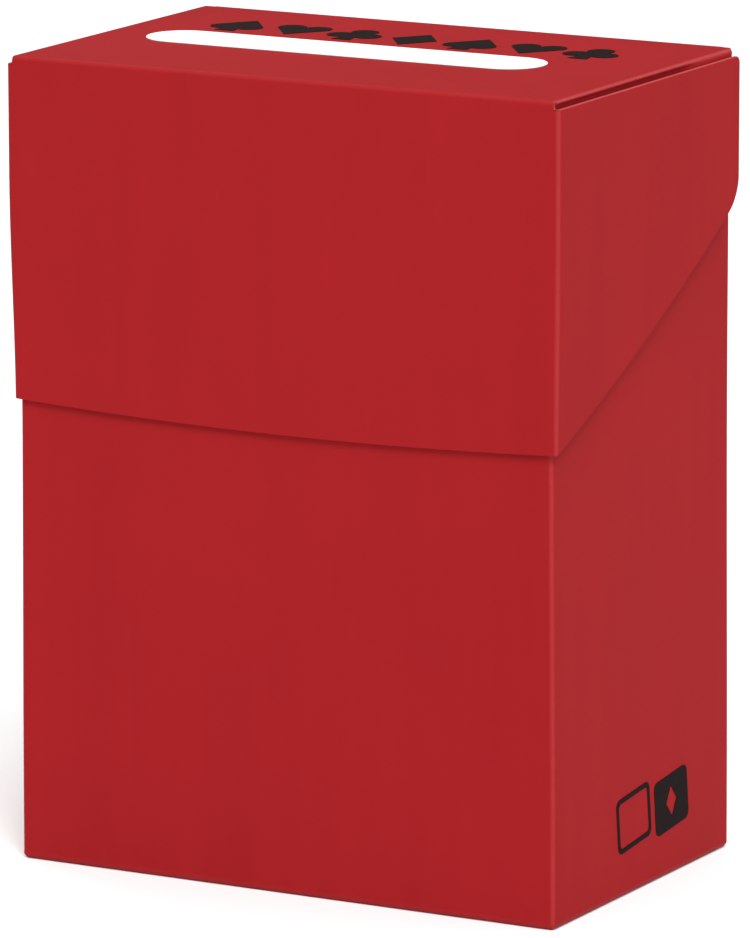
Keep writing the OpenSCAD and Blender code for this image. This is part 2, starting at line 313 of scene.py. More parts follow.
def mesh_object(name, points, faces, normals=None, creases=None, edges=None):
    """A mesh with exact normals, and with the crease and cut-edge masks that the plastic reads."""
    mesh = bpy.data.meshes.new(name + LOOK)
    mesh.from_pydata([tuple(p) for p in points], [], faces)
    mesh.polygons.foreach_set("use_smooth", [True] * len(faces))
    for key, values in (("crease", creases), ("cut_edge", edges)):
        if values is not None:
            mesh.attributes.new(key, "FLOAT", "POINT").data.foreach_set("value", values)
    if normals is not None:
        mesh.normals_split_custom_set_from_vertices([tuple(n) for n in normals])
    mesh.update()
    piece = bpy.data.objects.new(name + LOOK, mesh)
    bpy.context.scene.collection.objects.link(piece)
    return piece


class Place:
    """Carries flat points into the frame: u along, v up, n out of the sheet, bent past each flat limit."""

    def __init__(self, origin, along, up, u_flat=None, v_flat=None, u_r=FOLD_R, v_r=FOLD_R, warp=None,
                 thin=None):
        self.origin, self.along, self.up = Vector(origin), Vector(along), Vector(up)
        self.out = self.along.cross(self.up)
        self.u_flat = u_flat or (-FAR, FAR)
        self.v_flat = v_flat or (-FAR, FAR)
        self.u_r, self.v_r, self.warp, self.thin = u_r, v_r, warp, thin

    def __call__(self, u, v, depth):
        uc = min(max(u, self.u_flat[0]), self.u_flat[1])
        vc = min(max(v, self.v_flat[0]), self.v_flat[1])
        a = (u - uc) / self.u_r
        b = (v - vc) / self.v_r
        drop = 0.0
        if self.thin:
            drop, share = self.thin(u, v)
            depth = depth * share
        r = self.v_r if b else self.u_r
        lean = Vector((math.sin(a) * math.cos(b), math.sin(b), math.cos(a) * math.cos(b)))
        inner = -r if (a or b) else 0.0
        reach = (r if (a or b) else 0.0) - depth - drop
        local = Vector((uc, vc, inner)) + lean * reach
        point = self.origin + self.along * local.x + self.up * local.y + self.out * local.z
        return self.warp(point) if self.warp else point


# ---- Body ----


def body_warp(p):
    """The side walls lean out a little towards the base."""
    return Vector((p.x + FLARE * p.x / BODY_X * glide((FLARE_FROM - p.z) / FLARE_FROM), p.y, p.z))


def wall_columns(half, step, marks=()):
    """Columns across a panel that carries its half of an upright fold at both ends."""
    flat = half - FOLD_R
    bend = bend_stations(FOLD_R, MITRE)
    middle = stations(-flat, flat, step, marks=marks)
    return [-flat - b for b in reversed(bend)] + middle + [flat + b for b in bend]


def fold_mask(distance, width):
    """1 on the middle of a fold, falling to 0 past its start."""
    return glide(1 - distance / width)


def upright_crease(u, flat):
    """How pale the upright folds are, at u across a panel whose flat part ends at flat: stress whitening
    with a painted highlight.
    """
    return SIDE_CREASE_AND_HIGHLIGHT * fold_mask(flat + FOLD_R * MITRE - abs(u), FOLD_R * MITRE * UPRIGHT_SHARE)


def wall(name, origin, along, half, top, marks=(), thin=None, fine=()):
    """A body wall with its halves of two upright folds and its whole fold under the base."""
    flat = half - FOLD_R
    us = sorted(set(wall_columns(half, MEDIUM, marks)) | set(fine))
    below = bend_stations(BASE_FOLD_R, BASE_TURN, BASE_STEPS)
    grid = flat_grid(us, lambda u: BASE_FOLD_R, top, COARSE, below=below)
    place = Place(origin, along, Z, (-flat, flat), (BASE_FOLD_R, FAR), FOLD_R, BASE_FOLD_R, body_warp, thin)

    def crease(u, v):
        base = BASE_CREASE * fold_mask(abs(v - (BASE_FOLD_R - BASE_FOLD_R * BASE_TURN / 2)), BASE_FOLD_R)
        return max(upright_crease(u, flat), base)

    piece = sheet_piece(name, grid, place, {"u0": False, "u1": False, "v0": False}, crease=crease)
    finish_piece(piece, "body", plastic)


# The thumb notch is an arc, and a small fillet joins it to the wall's top edge
NOTCH_R = (NOTCH_HALF ** 2 + NOTCH_DEPTH ** 2) / (2 * NOTCH_DEPTH)
NOTCH_RISE = NOTCH_R - NOTCH_DEPTH
FILLET_U = math.sqrt((NOTCH_R + NOTCH_FILLET) ** 2 - (NOTCH_RISE + NOTCH_FILLET) ** 2)
TOUCH_U = FILLET_U * NOTCH_R / (NOTCH_R + NOTCH_FILLET)
NOTCH_STEPS, FILLET_STEPS = 24, 5


def front_top(u):
    """The front wall's top edge, with the notch in its middle."""
    u = abs(u)
    if u >= FILLET_U:
        return FRONT_TOP
    if u > TOUCH_U:
        return FRONT_TOP - NOTCH_FILLET + arc_height(FILLET_U - u, NOTCH_FILLET)
    return FRONT_TOP + NOTCH_RISE - arc_height(u, NOTCH_R)


def notch_columns():
    """Closely spaced columns along the notch and its two fillets."""
    arc = [TOUCH_U * k / NOTCH_STEPS for k in range(NOTCH_STEPS + 1)]
    arc += round_end(TOUCH_U, FILLET_U - TOUCH_U, FILLET_STEPS)[1:]
    return [side * u for u in arc for side in (-1, 1)]


def side_top(y):
    """The side walls' top edges slope down to the lower front wall."""
    share = min(1.0, max(0.0, (y - SLOPE_FROM) / (SLOPE_TO - SLOPE_FROM)))
    return FRONT_TOP + (BACK_TOP - FRONT_TOP) * share


def crease_groove(distance):
    """How the sheet thins towards the turning line: (drop of the outer skin, share of the thickness)."""
    full = HINGE.z - BACK_TOP
    s = max(0.0, min(1.0, distance / full))
    drop = CREASE_OUT - min(CREASE_OUT, GROOVE_SLOPE * distance)
    inner = CREASE_R + (SHEET - CREASE_OUT - CREASE_R) * s
    return drop, (CREASE_OUT - drop + inner) / SHEET


def back_thin(u, v):
    return crease_groove(HINGE.z - v)


def lid_thin(u, v):
    return crease_groove(HINGE.y - v)


def make_walls():
    slope = (SLOPE_FROM, SLOPE_TO)
    wall("front_wall", (0, BODY_FRONT, 0), X, BODY_X, front_top, fine=notch_columns())
    wall("right_wall", (BODY_X, 0, 0), Y, BODY_BACK, side_top, marks=slope)
    wall("left_wall", (-BODY_X, 0, 0), -Y, BODY_BACK, lambda u: side_top(-u), marks=[-y for y in slope])
    wall("back_wall", (0, BODY_BACK, 0), -X, BODY_X, lambda u: HINGE.z - CREASE_R, thin=back_thin)


def make_base():
    """The base panel butts against the folds of the four walls, with a hairline seam on three sides."""
    inset = BASE_FOLD_R - BASE_FOLD_R * math.cos(BASE_TURN)
    half = BODY_X - inset - BASE_SEAM
    front = -BODY_FRONT - inset
    back = -(BODY_BACK - inset - BASE_SEAM)
    grid = flat_grid(stations(-half, half, COARSE), lambda u: back, lambda u: front, COARSE)
    place = Place((0, 0, 0), X, -Y, warp=body_warp)
    piece = sheet_piece("bottom_panel", grid, place, {"v1": False})
    finish_piece(piece, "body", plastic)


def tapered_grid(start, end, height, start_taper, end_taper, corner_r, step=MEDIUM):
    """A flap: its fold runs from start to end along v = 0, and its free end is tapered and rounded."""
    middle = (start + end) / 2
    knee = (end - start) / 2 - corner_r

    def high(u):
        return height - corner_r + arc_height(abs(u - middle) - knee, corner_r)

    ends = [middle + side * u for u in round_end(knee, corner_r) for side in (-1, 1)]
    us = sorted(set(stations(middle - knee, middle + knee, step) + ends))
    grid = flat_grid(us, lambda u: 0.0, high, step)
    share = (grid[:, :, 0] - start) / (end - start)
    grid[:, :, 0] += (start_taper * (1 - share) - end_taper * share) * grid[:, :, 1] / height
    return grid


def flap(name, origin, along, up, length, height, taper):
    """A flap that starts on a fold line, built flat and stood on its place."""
    corner_r = 2.5 * MM
    grid = tapered_grid(-length / 2, length / 2, height, taper, taper, corner_r)
    piece = sheet_piece(name, grid, Place(origin, along, up, warp=body_warp), {"v0": False},
                        crease=lambda u, v: FLAP_CREASE * fold_mask(v, CREASE_WIDTH))
    finish_piece(piece, "body", plastic)


def make_inner_flaps():
    """The flaps inside the body: two over the base, one behind the back wall, one along the left wall."""
    dust_taper, tuck_taper, seam_taper = 5 * MM, 4 * MM, 6 * MM
    low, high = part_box("bottom_right_flap")
    reach, length = high.x - low.x, high.y - low.y
    flap("bottom_right_flap", (high.x, 0, high.z), Y, -X, length, reach, dust_taper)
    flap("bottom_left_flap", (-high.x, 0, high.z), -Y, X, length, reach, dust_taper)
    low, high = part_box("bottom_tuck_flap")
    flap("bottom_tuck_flap", (0, low.y, low.z), X, Z, high.x - low.x, high.z - low.z, tuck_taper)
    low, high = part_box("seam_flap")
    middle = (low.z + high.z) / 2
    flap("seam_flap", (high.x, high.y, middle), Z, -Y, high.z - low.z, high.y - low.y, seam_taper)


def lathe(profile, centre, axis, side, turns=40):
    """The points and faces of a closed dome: profile is (radius, height along axis) from the middle out."""
    other = axis.cross(side)
    points, faces = [centre + axis * profile[0][1]], []
    for r, h in profile[1:]:
        for k in range(turns):
            a = 2 * math.pi * k / turns
            points.append(centre + axis * h + (side * math.cos(a) + other * math.sin(a)) * r)
    for k in range(turns):
        n = (k + 1) % turns
        faces.append([0, 1 + k, 1 + n])
        for ring in range(len(profile) - 2):
            a, b = 1 + ring * turns, 1 + (ring + 1) * turns
            faces.append([a + k, b + k, b + n, a + n])
    last = 1 + (len(profile) - 2) * turns
    faces.append([last + k for k in reversed(range(turns))])
    return points, faces


def weld_profile(radius, height):
    """A weld spot: a dimple inside a rounded collar of pushed-up plastic, flat underneath."""
    dimple_r, low, high, swell = 0.62, 0.25, 0.45, 0.55     # shares of the radius and of the height
    inner, outer = 6, 8
    middle, half = (1 + dimple_r) / 2, (1 - dimple_r) / 2
    dimple = [(0.0, height * low)]
    for k in range(1, inner + 1):
        dimple.append((radius * dimple_r * k / inner, height * (low + (high - low) * (k / inner) ** 3)))
    collar = []
    for k in range(1, outer):
        a = math.pi * k / outer
        rise = high * (1 - k / outer) + swell * math.sin(a)
        collar.append((radius * (middle - half * math.cos(a)), height * rise))
    return dimple + collar + [(radius, 0.0)]


def weld_spots(node, axis):
    """(centre of the foot, radius, height) of each button in a CAD node, from its neighbouring vertices."""
    reach = 4 * MM             # vertices nearer together than this are on one button
    spots = []
    for vertex in node.data.vertices:
        p = vertex.co.copy()
        flat = p - axis * p.dot(axis)
        for spot in spots:
            if (spot["flat"][0] - flat).length < reach:
                spot["flat"].append(flat)
                spot["height"].append(p.dot(axis))
                break
        else:
            spots.append({"flat": [flat], "height": [p.dot(axis)]})
    out = []
    for spot in spots:
        lows = Vector([min(f[k] for f in spot["flat"]) for k in range(3)])
        highs = Vector([max(f[k] for f in spot["flat"]) for k in range(3)])
        foot, top = min(spot["height"]), max(spot["height"])
        out.append(((lows + highs) / 2 + axis * foot, (highs - lows).length / 2 / math.sqrt(2), top - foot))
    return out


def make_welds():
    """One piece for each group of weld spots, at the places of the CAD buttons."""
    for name, axis, side in (("seam_welds", X, Y), ("bottom_welds", Z, X)):
        points, faces = [], []
        for centre, radius, height in weld_spots(frame["nodes"][name], axis):
            more, dome = lathe(weld_profile(radius, height), centre, axis, side)
            faces += [[len(points) + v for v in face] for face in dome]
            points += more
        piece = mesh_object(name, [body_warp(p) for p in points], faces)
        finish_piece(piece, "body", weld_plastic)


def make_bead():
    """The line of thinned plastic that the lid turns on, a fine round bead along the back's top edge."""
    low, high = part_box("hinge_crease")
    sides, step = 16, 1.2 * MM
    guard, end_r, blunt = 0.1 * MM, 0.12 * MM, 0.02 * MM    # the bead's two ends are rounded over end_r
    xs = stations(low.x, high.x, step, guard=guard)
    points, faces = [], []
    for i, x in enumerate(xs):
        end = min(x - low.x, high.x - x)
        r = CREASE_R * math.sqrt(min(1.0, (end + blunt) / end_r))
        for k in range(sides):
            a = 2 * math.pi * k / sides
            points.append((x, HINGE.y + r * math.cos(a), HINGE.z + r * math.sin(a)))
        if i:
            a, b = (i - 1) * sides, i * sides
            faces += [[a + k, a + (k + 1) % sides, b + (k + 1) % sides, b + k] for k in range(sides)]
    last = (len(xs) - 1) * sides
    faces += [list(range(sides)), [last + k for k in reversed(range(sides))]]
    faces = [face[::-1] for face in faces]
    count = len(points)
    piece = mesh_object("hinge_crease", points, faces, creases=[1.0] * count, edges=[0.0] * count)
    finish_piece(piece, "body", plastic)


def make_body():
    make_walls()
    make_base()
    make_inner_flaps()
    make_welds()
    make_bead()


# ---- Lid ----


def lid_warp(p):
    """The lid grips the body: below the tabs its wings and flap lean in a little."""
    share = glide((TAB_LOW - p.z) / (TAB_LOW - FLAP_LOW))
    y_share = (BODY_BACK - p.y) / (BODY_BACK - LID_FRONT)
    x_share = p.x / LID_X
    grip = share * (TOE_BACK + (1 - TOE_BACK) * y_share)
    shift = (TOE_LEFT - TOE_RIGHT) / 2 * x_share ** 2 - (TOE_LEFT + TOE_RIGHT) / 2 * x_share
    return Vector((p.x + shift * grip, p.y + TOE_Y * share * y_share, p.z))


def tab_warp(p):
    """A tab dips inwards under its fold and comes back out where the body's wall stands behind it."""
    clear, room_from, room_over = 0.1 * MM, 1.0 * MM, 1.6 * MM
    wall_top = side_top(p.y)
    mitre_z = LID_TOP - TOP_FOLD_R * (1 - math.cos(MITRE))
    enter = glide((mitre_z - p.z) / RECESS_IN)
    leave = glide((p.z - max(wall_top + clear, LID_TOP - RECESS_H)) / RECESS_OUT)
    room = glide((LID_TOP - room_from - wall_top) / room_over)
    return Vector((p.x - math.copysign(RECESS * enter * leave * room, p.x), p.y, p.z))


def flap_low(u):
    """The front flap's lower edge, a flat arc."""
    r = (LID_X ** 2 + FLAP_BOW ** 2) / (2 * FLAP_BOW)
    u = min(abs(u), LID_X - FOLD_R)
    return FLAP_SIDE - FLAP_BOW + r - arc_height(u, r)


class WingEdge:
    """A wing's lower edge: a flat arc from the front fold up to a round corner at the back."""

    def __init__(self):
        front, back = np.array([LID_FRONT, FLAP_SIDE]), np.array([BODY_BACK, WING_BACK])
        chord = np.linalg.norm(back - front)
        along = (back - front) / chord
        self.r = ((chord / 2) ** 2 + WING_BOW ** 2) / (2 * WING_BOW)
        self.centre = (front + back) / 2 + (self.r - WING_BOW) * np.array([-along[1], along[0]])
        self.corner_y = BODY_BACK - WING_CORNER_R
        reach = self.r - WING_CORNER_R
        self.corner_z = self.centre[1] - math.sqrt(reach ** 2 - (self.corner_y - self.centre[0]) ** 2)
        toward = (np.array([self.corner_y, self.corner_z]) - self.centre) / reach
        self.touch_y = self.corner_y + WING_CORNER_R * toward[0]
        self.touch_turn = math.asin(toward[0])
        self.start_y = LID_FRONT + FOLD_R

    def __call__(self, y):
        if y < self.start_y:
            share = (self.start_y - y) / (FOLD_R * MITRE)
            return (1 - share) * self(self.start_y) + share * flap_low(LID_X)
        if y <= self.touch_y:
            return self.centre[1] - math.sqrt(self.r ** 2 - (y - self.centre[0]) ** 2)
        return self.corner_z - arc_height(y - self.corner_y, WING_CORNER_R)

    def columns(self, step=2.5 * MM, steps=8):
        """Columns along the wing: its half of the front fold, the flat and the round corner."""
        bend = bend_stations(FOLD_R, MITRE)
        ys = [self.start_y - b for b in reversed(bend)] + stations(self.start_y, self.touch_y, step)
        for k in range(1, steps + 1):
            a = self.touch_turn + (math.pi / 2 - self.touch_turn) * k / steps
            ys.append(self.corner_y + WING_CORNER_R * math.sin(a))
        return ys


def wing_top(y):
    """A wing's top edge, with a small round corner at the back."""
    r = WING_TOP_CORNER_R
    return WING_TOP - r + arc_height(y - (BODY_BACK - r), r)


def flap_grid(us, fold_end, v_top, bend):
    """The front flap's columns: those between the tabs carry half of the top fold."""
    grid = flat_grid(us, flap_low, lambda u: WING_TOP - GUARD, MEDIUM)
    folded = [v_top + b for b in [-GUARD / 2, 0] + bend]
    plain = [WING_TOP - GUARD + (k + 1) / len(folded) * GUARD for k in range(len(folded))]
    grown = []
    for u, column in zip(us, grid):
        rows = folded if abs(u) < fold_end else plain
        grown.append([tuple(p) for p in column] + [(u, v) for v in rows])
    return np.array(grown)


def make_flap():
    """The front flap: two halves of the upright folds, and its half of the top fold."""
    flat = LID_X - FOLD_R
    fold_end = TAB_X - TOP_FOLD_R + 0.25 * MM      # the top fold stops just short of the tabs' folds
    step = 0.04 * MM
    v_top = LID_TOP - TOP_FOLD_R
    bend = bend_stations(TOP_FOLD_R, MITRE)
    ends = {side * (fold_end + d) for side in (-1, 1) for d in (-step, step)}
    us = sorted(set(wall_columns(LID_X, FINE)) | ends)
    grid = flap_grid(us, fold_end, v_top, bend)
    free = [abs(a) > fold_end or abs(b) > fold_end for a, b in zip(us, us[1:])]
    place = Place((0, LID_FRONT, 0), X, Z, (-flat, flat), (-FAR, v_top), FOLD_R, TOP_FOLD_R, warp=lid_warp)

    def crease(u, v):
        top = LID_FRONT_CREASE * fold_mask(v_top + TOP_FOLD_R * MITRE - v, TOP_FOLD_R * MITRE)
        return max(upright_crease(u, flat), top)

    cut = {"u0": False, "u1": False, "v1": free}
    # The flap's upper corners are paler than its lower edge: wear with a painted highlight where the light
    # falls on the top.
    piece = sheet_piece("lid_front_flap", grid, place, cut, crease=crease,
                        edge_wear_and_highlight=lambda u, v: FLAP_TOP_WEAR_AND_HIGHLIGHT if v > WING_TOP - UPPER_EDGE else LID_LOW_EDGE)
    finish_piece(piece, "lid", plastic)


def make_wings():
    edge = WingEdge()
    ys = edge.columns()
    fold_middle = edge.start_y - FOLD_R * MITRE
    for name, side in (("lid_right_wing", 1.0), ("lid_left_wing", -1.0)):
        us = sorted(side * y for y in ys)
        grid = flat_grid(us, lambda u: edge(side * u), lambda u: wing_top(side * u), FINE)
        flat = (edge.start_y, FAR) if side > 0 else (-FAR, -edge.start_y)
        place = Place((side * LID_X, 0, 0), Y * side, Z, flat, None, FOLD_R, warp=lid_warp)
        cut = {"u0": False} if side > 0 else {"u1": False}

        # The wing's half of the upright fold: stress whitening with a painted highlight.
        def crease(u, v):
            return SIDE_CREASE_AND_HIGHLIGHT * fold_mask(side * u - fold_middle, FOLD_R * MITRE * UPRIGHT_SHARE)

        # The wing's upper edge is paler than its lower edge: wear with a painted highlight where the light
        # falls on the top.
        piece = sheet_piece(name, grid, place, cut, crease=crease,
                            edge_wear_and_highlight=lambda u, v: WING_TOP_WEAR_AND_HIGHLIGHT if v > WING_TOP - UPPER_EDGE else LID_LOW_EDGE)
        finish_piece(piece, "lid", plastic)


def make_top():
    """The top panel: half of the front fold, half of each tab fold, and the groove it turns on."""
    flat_u = TAB_X - TOP_FOLD_R
    front = LID_FRONT + TOP_FOLD_R
    gap = 0.01 * MM            # between the panel and the bead it turns on
    back = HINGE.y - CREASE_R - gap
    corner, groove_step, groove_guard, stub_step = 0.03 * MM, 0.12 * MM, 0.05 * MM, 0.004 * MM
    bend = bend_stations(TOP_FOLD_R, MITRE)
    us = [-flat_u - b for b in reversed(bend)] + [-flat_u - corner]
    us += stations(-flat_u + corner, flat_u - corner, MEDIUM)
    us += [flat_u + corner] + [flat_u + b for b in bend]
    vs = [front - b for b in reversed(bend)] + stations(front, LID_BACK, MEDIUM)
    groove = stations(LID_BACK, back, groove_step, guard=groove_guard)[1:]
    # the tab folds stop where the groove starts
    stub = [LID_BACK + (k + 1) * stub_step for k in range(len(groove))]
    grid = np.array([[(u, v) for v in vs + (groove if abs(u) < flat_u else stub)] for u in us])
    free = [k < len(bend) or k >= len(vs) - 1 for k in range(len(vs) + len(groove) - 1)]
    origin = (0, 0, LID_TOP)
    place = Place(origin, X, Y, (-flat_u, flat_u), (front, FAR), TOP_FOLD_R, TOP_FOLD_R, thin=lid_thin)

    def crease(u, v):
        half = TOP_FOLD_R * MITRE
        # The side folds are pale in full: stress whitening with a painted highlight along the lid's side
        # edges.
        side_fold = fold_mask(flat_u + half - abs(u), half)
        front_fold = LID_FRONT_CREASE * fold_mask(v - (front - half), half)
        back_fold = LID_BACK_CREASE * fold_mask(HINGE.y - v, CREASE_WIDTH)
        return max(side_fold, front_fold, back_fold)

    piece = sheet_piece("lid_top", grid, place, {"u0": free, "u1": free, "v0": False}, crease=crease)
    finish_piece(piece, "lid", plastic)


def make_tabs():
    """The tabs folded down from the top's sides, glued inside the wings."""
    low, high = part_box("lid_right_tab")
    v_top = LID_TOP - TOP_FOLD_R
    gap = 0.1 * MM             # between a tab's fold and the front flap
    front, back = LID_FRONT + SHEET + gap, high.y
    front_taper, corner_r, step = low.y - front + TAB_TAPER, 2 * MM, 2 * MM
    bend = bend_stations(TOP_FOLD_R, MITRE)
    for name, side in (("lid_right_tab", 1.0), ("lid_left_tab", -1.0)):
        start, end, start_taper, end_taper = front, back, front_taper, TAB_TAPER
        if side < 0:
            start, end, start_taper, end_taper = -back, -front, TAB_TAPER, front_taper
        grid = tapered_grid(start, end, v_top - low.z, start_taper, end_taper, corner_r, step)
        grid[:, :, 1] *= -1
        fold = [[(column[0][0], b) for b in bend] for column in grid]
        grid = np.concatenate([grid[:, ::-1], np.array(fold)], axis=1)
        origin = (side * TAB_X, 0, v_top)
        place = Place(origin, Y * side, Z, None, (-FAR, 0.0), FOLD_R, TOP_FOLD_R, warp=tab_warp)
        # The tab folds are pale in full: stress whitening with a painted highlight along the top's side
        # edges.
        piece = sheet_piece(name, grid, place, {"v1": False},
                            crease=lambda u, v: fold_mask(TOP_FOLD_R * MITRE - v, TOP_FOLD_R * MITRE))
        finish_piece(piece, "lid", plastic)


def make_lid():
    make_top()
    make_flap()
    make_wings()
    make_tabs()


# ---- Label, prints and divider ----


def make_strip():
    """The white write-on strip: a thin film with round ends."""
    low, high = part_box("write_on_strip")
    centre = (low + high) / 2
    r = (high.y - low.y) / 2
    half = (high.x - low.x) / 2
    blunt, rim, rows, steps = 0.004 * MM, 0.035 * MM, 1.5 * MM, 14
    ends = round_end(half - r, r, steps)[:-1] + [half - blunt]
    us = [-u for u in reversed(ends)] + stations(-(half - r), half - r, MEDIUM)[1:-1] + ends

    def wide(u):
        return arc_height(abs(u) - (half - r), r)

    grid = flat_grid(us, lambda u: -wide(u), wide, rows)
    place = Place((centre.x, centre.y, high.z), X, Y)
    piece = sheet_piece("write_on_strip", grid, place, {}, thick=high.z - low.z, rim=rim)
    finish_piece(piece, "lid", label_film)


def make_prints():
    """The printed shapes: the outlines of the CAD, laid on the surfaces they are printed on."""
    for name, body, warp in (("lid_pips", "lid", None), ("side_icon", "body", body_warp)):
        mesh = frame["nodes"][name].data
        points = [warp(v.co) if warp else v.co.copy() for v in mesh.vertices]
        piece = mesh_object(name, points, [list(f.vertices) for f in mesh.polygons])
        piece.data.polygons.foreach_set("use_smooth", [False] * len(mesh.polygons))
        finish_piece(piece, body, ink)


def make_divider():
    """The loose divider: a card-sized sheet with an index tab."""
    low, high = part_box("divider")
    width, corner_r, fillet = high.x, 3 * MM, 1.5 * MM
    tab_half, tab_r, tab_h = 10 * MM, 2 * MM, 4 * MM
    blunt, step_in = 0.01 * MM, 0.05 * MM      # the tab's side is nearly upright
    corner_steps = 8
    shoulder = high.z - tab_h
    fillet_start = tab_half + step_in
    half_us = stations(0, tab_half - tab_r, MEDIUM)[:-1]
    half_us += round_end(tab_half - tab_r, tab_r)[:-1] + [tab_half - blunt]
    half_us += [fillet_start + fillet * (1 - math.cos(a)) for a in quarter(FILLET_STEPS)]
    half_us += stations(tab_half + 2 * fillet, width - corner_r, MEDIUM)[:-1]
    half_us += round_end(width - corner_r, corner_r, corner_steps)
    us = [-u for u in reversed(half_us) if u > 0] + half_us

    def top(u):
        u = abs(u)
        if u < tab_half:
            return high.z - tab_r + arc_height(u - (tab_half - tab_r), tab_r)
        if u < fillet_start + fillet:
            return shoulder + fillet - arc_height(fillet_start + fillet - u, fillet)
        return shoulder - corner_r + arc_height(u - (width - corner_r), corner_r)

    def bottom(u):
        return low.z + corner_r - arc_height(abs(u) - (width - corner_r), corner_r)

    grid = flat_grid(us, bottom, top, COARSE)
    piece = sheet_piece("divider", grid, Place((0, low.y, 0), X, Z), {}, thick=high.y - low.y)
    finish_piece(piece, "divider", milky_plastic)


# ---- Materials, each made at its first use and then shared ----

RED = (0.293, 0.0122, 0.0146)
# the paler red of scuffs, edge wear and stress-whitened folds, also used as a painted highlight
RED_WEAR_AND_HIGHLIGHT = (0.47, 0.095, 0.1)
INK = (0.0085, 0.0042, 0.0042)
INK_PINHOLE = (0.12, 0.012, 0.012)
PAPER = (0.86, 0.86, 0.85)
PAPER_WORN = (0.62, 0.58, 0.56)
MILKY = (0.62, 0.64, 0.64)
MILKY_WORN = (0.82, 0.84, 0.84)
GRAIN = 3600.0             # scale of the embossed grain, in repeats per metre
GRAIN_DEPTH = 0.012 * MM
FINE_TOOTH = 5200.0        # scale of the ink's pinholes and of the white film's surface
FILM_DEPTH = 0.01 * MM     # relief of the ink and of the white film


class Tree:
    """A short way to write a node tree."""

    def __init__(self, tree):
        self.tree = tree

    def new(self, kind):
        return self.tree.nodes.new("ShaderNode" + kind)

    def join(self, socket, value):
        """Links a socket to another, or sets its own value."""
        if isinstance(value, bpy.types.NodeSocket):
            self.tree.links.new(value, socket)
        elif isinstance(value, tuple) and len(value) == 3 and socket.type == "RGBA":
            socket.default_value = (*value, 1.0)
        else:
            socket.default_value = value

    def add(self, kind, **inputs):
        node = self.new(kind)
        for key, value in inputs.items():
            self.join(node.inputs[key], value)
        return node

    def math(self, operation, a, b=0.0, c=0.0):
        node = self.new("Math")
        node.operation = operation
        for socket, value in zip(node.inputs, (a, b, c)):
            self.join(socket, value)
        return node.outputs[0]

    def scaled(self, value, gain, start=0.0):
        """value * gain + start."""
        return self.math("MULTIPLY_ADD", value, gain, start)

    def mix(self, factor, a, b):
        """A blend of two colours. Inputs 6 and 7 and output 2 are the Mix node's colour sockets."""
        node = self.new("Mix")
        node.data_type = "RGBA"
        for socket, value in ((node.inputs[0], factor), (node.inputs[6], a), (node.inputs[7], b)):
            self.join(socket, value)
        return node.outputs[2]

    def vary(self, factor, colour, low, high):
        """A colour that runs from low to high times its own brightness."""
        return self.mix(factor, tuple(c * low for c in colour), tuple(c * high for c in colour))

    def spread(self, value, low, high, out_low=0.0, out_high=1.0):
        """Maps low to high onto out_low to out_high, clamped."""
        node = self.new("MapRange")
        for socket, item in zip(node.inputs, (value, low, high, out_low, out_high)):
            self.join(socket, item)
        return node.outputs[0]

    def noise(self, vector, scale, detail=3.0, rough=0.5):
        return self.add("TexNoise", Vector=vector, Scale=scale, Detail=detail, Roughness=rough).outputs[0]

    def attribute(self, name):
        node = self.new("Attribute")
        node.attribute_name = name
        return node.outputs["Fac"]

    def place(self, scale=(1.0, 1.0, 1.0)):
        coords = self.new("TexCoord")
        mapping = self.add("Mapping", Vector=coords.outputs["Object"], Scale=scale)
        return mapping.outputs[0]


class Nodes(Tree):
    """The node tree of a new material."""

    def __init__(self, name):
        self.material = bpy.data.materials.new(name)
        self.material.use_nodes = True
        super().__init__(self.material.node_tree)
        self.shader = self.tree.nodes["Principled BSDF"]

    def link(self, value, name):
        self.tree.links.new(value, self.shader.inputs[name])

    def fix(self, name, value):
        """Sets a shader input that is the same all over the surface."""
        self.shader.inputs[name].default_value = value

    def bump(self, height, strength, distance):
        node = self.add("Bump", Height=height, Strength=strength, Distance=distance)
        self.link(node.outputs[0], "Normal")


@functools.cache
def plastic():
    """Satin polypropylene sheet: embossed grain, faint rolling streaks, scuffs, pale folds and rims from
    stress whitening and wear, with a painted highlight on the lit folds and upper edges.
    """
    n = Nodes("red_polypropylene")
    where = n.place()
    streaks = n.noise(n.place((260.0, 260.0, 14.0)), scale=1.0, detail=2.0)
    clouds = n.noise(where, scale=45.0, detail=2.0)
    grain = n.noise(where, GRAIN, detail=2.0)
    scuffs = n.noise(n.place((900.0, 900.0, 160.0)), scale=1.0, detail=4.0, rough=0.7)
    scuff = n.spread(scuffs, low=0.62, high=0.78)
    crease = n.attribute("crease")
    edge = n.attribute("cut_edge")
    speck = n.spread(n.noise(where, scale=1500.0, detail=2.0), low=0.35, high=0.65)
    tint = n.spread(n.math("ADD", streaks, clouds), low=0.7, high=1.3)
    shade = n.vary(tint, RED, low=0.965, high=1.035)
    # Pale folds and rims: stress whitening and edge wear, with a painted highlight on the folds and upper
    # edges that catch the light.
    pale = n.math("MULTIPLY", crease, n.scaled(speck, gain=0.12, start=0.36))
    rim = n.math("MULTIPLY", edge, n.scaled(speck, gain=0.2, start=0.6))
    wear_and_highlight = n.math("MAXIMUM", n.math("MAXIMUM", pale, rim), n.scaled(scuff, gain=0.035))
    n.link(n.mix(wear_and_highlight, shade, RED_WEAR_AND_HIGHLIGHT), "Base Color")
    rough = n.scaled(clouds, gain=0.08, start=0.42)
    rough = n.scaled(scuff, gain=0.08, start=rough)
    n.link(n.scaled(edge, gain=0.12, start=rough), "Roughness")
    n.fix("Specular IOR Level", 0.016)
    n.fix("IOR", 1.49)
    n.bump(n.scaled(streaks, gain=0.6, start=grain), strength=0.18, distance=GRAIN_DEPTH)
    return n.material


